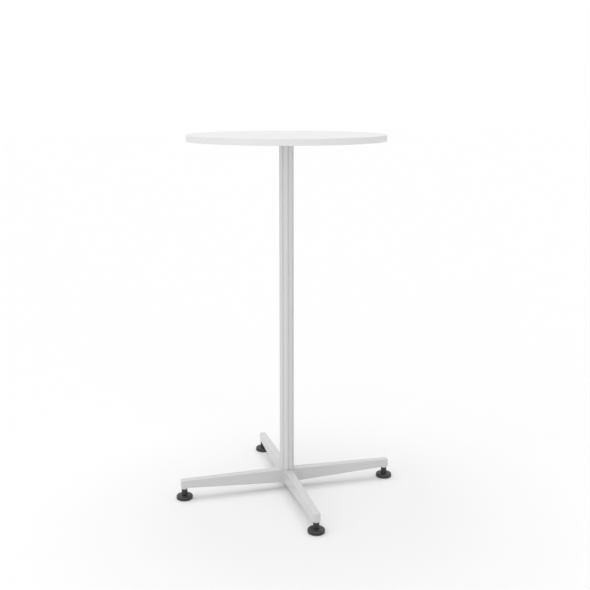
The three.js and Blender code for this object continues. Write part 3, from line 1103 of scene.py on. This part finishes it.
@dataclass
class StarBase:
    """Cast base of four tapered legs, hollow underneath, with the screws into the column."""

    wardrobe: Wardrobe
    hub_top: float = 64 * MM
    hub_bottom: float = 21.9 * MM
    half_width: float = 13 * MM
    taper: float = 0.00743
    crossing: float = 12.904 * MM
    flat_reach: float = 25.3 * MM
    tip_reach: float = 336.5 * MM
    tip_top: float = 60.37 * MM
    tip_bottom: float = 37.05 * MM
    hub_fillet: float = 5.1 * MM
    hub_fillet_steps: int = 10
    tip_corner: float = 5 * MM
    tip_corner_steps: int = 6
    top_rounding: float = 2.3 * MM
    top_rounding_steps: int = 4
    bottom_rounding: float = 0.8 * MM
    bottom_rounding_steps: int = 2
    foot_reach: float = 325 * MM
    boss: float = 10 * MM
    boss_ease: float = 0.6 * MM
    boss_bottom: float = 32 * MM
    boss_top: float = 48 * MM
    flare_start: float = 34.9 * MM
    flare_middle: float = 35.8 * MM
    flare_middle_radius: float = 10.125 * MM
    flare_end: float = 36.4 * MM
    flare_end_radius: float = 10.5 * MM
    boss_sides: int = 48
    legs: int = 4
    wall: float = 4 * MM
    roof: float = 5 * MM
    rib: float = 4 * MM
    pockets: int = 3
    pocket_corner: float = 2 * MM
    pocket_corner_steps: int = 3
    hub_pocket: float = 18.3 * MM
    hub_pocket_sides: int = 48
    hub_floor: float = 52 * MM
    screws: int = 4
    port_circle: float = 11.2 * MM
    port_hole: float = 4.3 * MM
    stud_bore: float = 5.3 * MM
    stud_bore_top: float = 55 * MM
    hole_sides: int = 24

    def _half(self, reach: float) -> float:
        """Half the leg's width at a distance from the column's axis."""
        return self.half_width - self.taper * reach

    def _top(self, reach: float) -> float:
        """Height of the leg's top at a distance from the column's axis."""
        share = (reach - self.flat_reach) / (self.tip_reach - self.flat_reach)
        return self.hub_top + (self.tip_top - self.hub_top) * max(0.0, share)

    def _star(self) -> Workbench:
        """Draws the legs out of the hub and gives the star its depth.

        Returns:
            The bench with the star.
        """
        star = Workbench("base_casting").plate(self.crossing, self.hub_top)
        for side in Side:
            way = Vector(side.out(1.0))
            star.pick(
                Part.EDGES,
                lambda e: (e.verts[0].co + e.verts[1].co - 2 * self.crossing * way).xy.length < TOUCH,
            )
            star.extrude(side.out(self.flat_reach - self.crossing))
            star.resize(side.across(self._half(self.flat_reach) / self._half(self.crossing)))
            star.extrude(side.out(self.tip_reach - self.flat_reach, self.tip_top - self.hub_top))
            star.resize(side.across(self._half(self.tip_reach) / self._half(self.flat_reach)))
        depth = self.hub_top - self.hub_bottom
        star.everything().extrude((0, 0, -depth)).weld()
        star.pick(Part.CORNERS, lambda v: v.co.z < self.hub_bottom and v.co.xy.length > self.foot_reach)
        star.shift((0, 0, self.tip_bottom - (self.tip_top - depth)))
        for way_up in (1, -1):
            star.pick(
                Part.FACES,
                lambda f: f.normal.z * way_up > LEVEL and f.calc_center_median().xy.length < self.flat_reach,
            ).dissolve()
        return star

    def _round_edges(self, star: Workbench) -> None:
        """Rounds the corners between the legs, the tips, and the upper and lower edges.

        Args:
            star: The bench with the star.
        """

        def upright(edge: bmesh.types.BMEdge) -> bool:
            """True for an edge that stands straight up."""
            return (edge.verts[0].co - edge.verts[1].co).xy.length < TOUCH

        def rim(edge: bmesh.types.BMEdge, way_up: int) -> bool:
            """True for an edge between a side and the top, or the underside."""
            normals = [face.normal.z * way_up for face in edge.link_faces]
            return len(normals) == 2 and max(normals) > SLOPING and abs(min(normals)) < UPRIGHT

        inner = self.crossing / DIAGONAL
        star.pick(Part.EDGES, lambda e: upright(e) and abs(e.verts[0].co.xy.length - inner) < NEAR)
        star.bevel(self.hub_fillet, self.hub_fillet_steps)
        star.pick(Part.EDGES, lambda e: upright(e) and e.verts[0].co.xy.length > self.tip_reach - TOUCH)
        star.bevel(self.tip_corner, self.tip_corner_steps)
        star.pick(Part.EDGES, lambda e: rim(e, 1)).bevel(self.top_rounding, self.top_rounding_steps)
        star.pick(Part.EDGES, lambda e: rim(e, -1)).bevel(self.bottom_rounding, self.bottom_rounding_steps)

    def _add_bosses(self, star: Workbench) -> None:
        """Joins a boss under each tip, flared into the leg.

        Args:
            star: The bench with the star.
        """
        profile = [
            (self.boss - self.boss_ease, self.boss_bottom),
            (self.boss, self.boss_bottom + self.boss_ease),
            (self.boss, self.flare_start),
            (self.flare_middle_radius, self.flare_middle),
            (self.flare_end_radius, self.flare_end),
            (self.flare_end_radius, self.boss_top),
        ]
        bosses = Workbench("bosses").turn(profile, self.boss_sides).shift((self.foot_reach, 0, 0))
        star.fuse(bosses.spread(self.legs), Fusion.JOIN)

    def _hollow(self, star: Workbench) -> None:
        """Cuts the pockets under the legs and the hub, and drills the holes.

        Args:
            star: The bench with the star.
        """
        start = self.hub_pocket + self.wall
        end = self.foot_reach - self.boss - self.wall
        length = (end - start - self.rib * (self.pockets - 1)) / self.pockets
        for number in range(self.pockets):
            near = start + number * (length + self.rib)
            far = near + length
            half = self._half(near) - self.wall
            pocket = Workbench("pocket").block((near, -half, 0), (far, half, self._top(near) - self.roof))
            pocket.pick(Part.CORNERS, lambda v: v.co.x > far - TOUCH)
            pocket.resize((1, (self._half(far) - self.wall) / half, 1))
            pocket.pick(Part.CORNERS, lambda v: v.co.x > far - TOUCH and v.co.z > self.hub_bottom)
            pocket.shift((0, 0, self._top(far) - self._top(near)))
            pocket.pick(Part.EDGES, lambda e: (e.verts[0].co - e.verts[1].co).xy.length < TOUCH)
            pocket.bevel(self.pocket_corner, self.pocket_corner_steps)
            star.fuse(pocket.spread(self.legs), Fusion.CUT)
        hub = Workbench("hub_pocket").rod(self.hub_pocket, 0, self.hub_floor, self.hub_pocket_sides)
        star.fuse(hub, Fusion.CUT)
        holes = Workbench("holes").rod(self.port_hole, 0, 2 * self.hub_top, self.hole_sides)
        star.fuse(holes.shift((self.port_circle, 0, 0)).spread(self.screws), Fusion.CUT)
        bores = Workbench("bores").rod(self.stud_bore, 0, self.stud_bore_top, self.hole_sides)
        star.fuse(bores.shift((self.foot_reach, 0, 0)).spread(self.legs), Fusion.CUT)

    def build(self) -> Iterator[Piece]:
        """Makes and dresses the base and the screws under its hub.

        Returns:
            The pieces, one after another.
        """
        finishes = self.wardrobe.finishes
        star = self._star()
        self._round_edges(star)
        self._add_bosses(star)
        self._hollow(star)
        yield self.wardrobe.fit(star.finish(), finishes.base, "table", "star_base")
        yield self.wardrobe.dress_node("clamp_plate", finishes.zinc)
        for number in range(1, self.screws + 1):
            yield self.wardrobe.dress_node(f"base_screw_{number}", finishes.zinc)


@dataclass
class LevellingFeet:
    """Four feet: a pad with its sole, and a collar with its threaded stud."""

    wardrobe: Wardrobe
    reach: float = 325 * MM
    pad: float = 25 * MM
    pad_bottom: float = 1 * MM
    pad_shoulder: float = 12 * MM
    pad_top: float = 13 * MM
    lower_rounding: Rounding = (2 * MM, 5)
    upper_rounding: Rounding = (4 * MM, 8)
    dome_outer: Ring = (16.92 * MM, 12.52 * MM)
    dome_inner: Ring = (12.96 * MM, 12.85 * MM)
    recess: float = 20.3 * MM
    recess_top: float = 2.7 * MM
    head_pocket: float = 8.3 * MM
    head_pocket_top: float = 7.1 * MM
    bore: float = 5.3 * MM
    sole: float = 20 * MM
    sole_top: float = 2.5 * MM
    sole_lower_chamfer: Rounding = (0.5 * MM, 1)
    sole_upper_chamfer: Rounding = (0.25 * MM, 1)
    collar: float = 9 * MM
    collar_bottom: float = 13.3 * MM
    collar_top: float = 31.7 * MM
    collar_rounding: Rounding = (0.8 * MM, 4)
    stud: float = 5 * MM
    stud_top: float = 52 * MM
    stud_head: float = 8 * MM
    stud_head_bottom: float = 2.8 * MM
    stud_head_top: float = 6.8 * MM
    stud_neck: float = 3.9 * MM
    thread_depth: float = 0.8 * MM
    thread_pitch: float = 1.5 * MM
    thread_lead: float = 3.21 * MM
    thread_start: float = 15 * MM
    spare_turns: int = 3
    sides: int = 64
    stud_sides: int = 32

    def _pad(self) -> Workbench:
        """Makes the pad: rounded rim, domed top, and the pockets for the sole and the stud's head.

        Returns:
            The bench with the pad.
        """
        profile = [
            (self.recess, self.pad_bottom),
            *eased_side(
                self.pad, self.pad_bottom, self.pad_shoulder, self.lower_rounding, self.upper_rounding
            ),
            self.dome_outer,
            self.dome_inner,
            (self.collar, self.pad_top),
            (self.bore, self.pad_top),
            (self.bore, self.head_pocket_top),
            (self.head_pocket, self.head_pocket_top),
            (self.head_pocket, self.recess_top),
            (self.recess, self.recess_top),
            (self.recess, self.pad_bottom),
        ]
        return Workbench("pad_front").turn(profile, self.sides, closed=True)

    def _sole(self) -> Workbench:
        """Makes the sole, chamfered round its rim."""
        side = eased_side(self.sole, 0.0, self.sole_top, self.sole_lower_chamfer, self.sole_upper_chamfer)
        return Workbench("sole_front").turn(side, self.sides)

    def _collar(self) -> Workbench:
        """Makes the collar, rounded at both ends, with its bore.

        Returns:
            The bench with the collar.
        """
        low, high = self.collar_bottom, self.collar_top
        side = eased_side(self.collar, low, high, self.collar_rounding, self.collar_rounding)
        profile = [(self.bore, low), *side, (self.bore, high), (self.bore, low)]
        return Workbench("collar_front").turn(profile, self.sides, closed=True)

    def _stud(self) -> Workbench:
        """Makes the stud: a flat head, a plain neck and a wound thread trimmed to its length.

        Returns:
            The bench with the stud.
        """
        turns = math.ceil((self.stud_top - self.thread_start) / self.thread_pitch) + self.spare_turns
        stud = Workbench("stud_front")
        stud.thread(self.stud, self.thread_depth, self.thread_pitch, turns, self.stud_sides)
        stud.shift((0, 0, self.thread_start - self.thread_lead))
        trim = Workbench("trim").rod(2 * self.stud, self.thread_start, self.stud_top, self.stud_sides)
        stud.fuse(trim, Fusion.TRIM)
        head = [
            (self.stud_head, self.stud_head_bottom),
            (self.stud_head, self.stud_head_top),
            (self.stud_neck, self.stud_head_top),
            (self.stud_neck, self.thread_start + self.thread_pitch),
        ]
        return stud.fuse(Workbench("head").turn(head, self.stud_sides), Fusion.JOIN)

    def build(self) -> Iterator[Piece]:
        """Makes one foot, copies it to the other legs and dresses all four.

        Returns:
            The pieces, one after another.
        """
        finishes = self.wardrobe.finishes
        kinds = (
            ("pad", self._pad, finishes.nylon, "foot", "foot_pad"),
            ("sole", self._sole, finishes.sole, "foot", "foot_sole"),
            ("collar", self._collar, finishes.nylon, "foot_screw", "foot_collar"),
            ("stud", self._stud, finishes.zinc, "foot_screw", "foot_stud"),
        )
        start = Vector(Side.FRONT.out(self.reach))
        for word, make, finish, body, node in kinds:
            first = make().everything().shift(tuple(start)).finish()
            feet = {Side.FRONT: first}
            for side in (Side.RIGHT, Side.BACK, Side.LEFT):
                step = Vector(side.out(self.reach)) - start
                feet[side] = Workbench.copy(first, f"{word}_{side.word}", tuple(step))
            for side, piece in feet.items():
                yield self.wardrobe.fit(piece, finish, f"{body}_{side.word}", f"{node}_{side.word}")


@dataclass(frozen=True)
class Lamp:
    """A wide soft lamp, far off: its strength, and its tilt from overhead, heading and width in degrees."""

    name: str
    strength: float
    tilt: float
    heading: float
    width: float
    height: float = 3.0

    def hang(self) -> None:
        """Hangs the lamp."""
        turn = (math.radians(self.tilt), 0, math.radians(self.heading))
        bpy.ops.object.light_add(type="SUN", location=(0, 0, self.height), rotation=turn)
        holder = bpy.context.active_object
        holder.name = self.name
        holder.data.energy = self.strength
        holder.data.angle = math.radians(self.width)


@dataclass
class Studio:
    """Pale floor, white surround, soft light from above and from the front, and the camera."""

    floor_size: float = 60.0
    floor_drop: float = 0.1 * MM
    floor_colour: Colour = (0.91, 0.909, 0.914)
    floor_glow: float = 0.1
    ambient: float = 0.53
    ambient_colour: Colour = (0.995, 0.99, 1.0)
    overhead: Lamp = Lamp("overhead_lamp", strength=1.36, tilt=10.6, heading=190.0, width=56.0)
    fill: Lamp = Lamp("fill_lamp", strength=1.0, tilt=68.0, heading=-42.0, width=110.0)
    camera_place: Point = (-0.7178, -2.7275, 1.2239)
    camera_pitch: float = 8.499
    camera_heading: float = -15.262
    lens: float = 57.252
    sensor: float = 36.0
    rise: float = -0.10

    def _floor(self) -> None:
        """Lays a plain pale floor that keeps under the lowest foot."""
        Workbench.deselect()
        bpy.ops.mesh.primitive_plane_add(size=self.floor_size, location=(0, 0, -self.floor_drop))
        floor = bpy.context.active_object
        floor.name = "floor"
        floor.data.materials.append(self._floor_paint())
        for side in Side:
            rest = floor.constraints.new("FLOOR")
            rest.target = frame["bodies"][f"foot_{side.word}"]
            rest.floor_location = "FLOOR_NEGATIVE_Z"
            rest.offset = -self.floor_drop

    def _floor_paint(self) -> bpy.types.Material:
        """Mixes matt white paint that glows a little where it is seen, so that shadows stay light.

        Returns:
            The floor's material.
        """
        paint = bpy.data.materials.new("floor_paint")
        paint.use_nodes = True
        sheet = NodeSheet(paint.node_tree)
        matt = sheet.node("ShaderNodeBsdfDiffuse", {}, {"Color": (*self.floor_colour, 1.0)})
        glow = sheet.node("ShaderNodeEmission", {}, {"Color": WHITE, "Strength": 1.0})
        sheet.show("Material Output", self.floor_glow * sheet.seen(), matt, glow)
        return paint

    def _surround(self) -> None:
        """Sets up even soft light from all round, seen as plain white."""
        world = bpy.data.worlds.new("surround")
        bpy.context.scene.world = world
        world.use_nodes = True
        sheet = NodeSheet(world.node_tree)
        light = world.node_tree.nodes["Background"]
        light.inputs["Color"].default_value = (*self.ambient_colour, 1.0)
        light.inputs["Strength"].default_value = self.ambient
        white = sheet.node("ShaderNodeBackground", {}, {"Color": WHITE, "Strength": 1.0})
        sheet.show("World Output", sheet.seen(), light, white)

    def _camera(self) -> None:
        """Sets the camera at the photograph's viewing angle."""
        turn = (QUARTER - math.radians(self.camera_pitch), 0, math.radians(self.camera_heading))
        bpy.ops.object.camera_add(location=self.camera_place, rotation=turn)
        camera = bpy.context.active_object
        camera.data.sensor_width = self.sensor
        camera.data.lens = self.lens
        camera.data.shift_y = self.rise
        bpy.context.scene.camera = camera

    def build(self) -> None:
        """Sets up the floor, the light and the camera."""
        self._floor()
        self._surround()
        self.overhead.hang()
        self.fill.hang()
        self._camera()
        bpy.context.scene.view_settings.view_transform = "Standard"


def main() -> None:
    """Builds the studio and the table, and reports each piece."""
    logging.basicConfig(level=logging.INFO, format="%(name)s: %(message)s")
    Studio().build()
    wardrobe = Wardrobe(Finishes())
    for assembly in (Tabletop, MountingPlate, Column, StarBase, LevellingFeet):
        for piece in assembly(wardrobe).build():
            LOG.info("%s: %d faces", piece.name, len(piece.data.polygons))


if __name__ == "__main__":
    main()
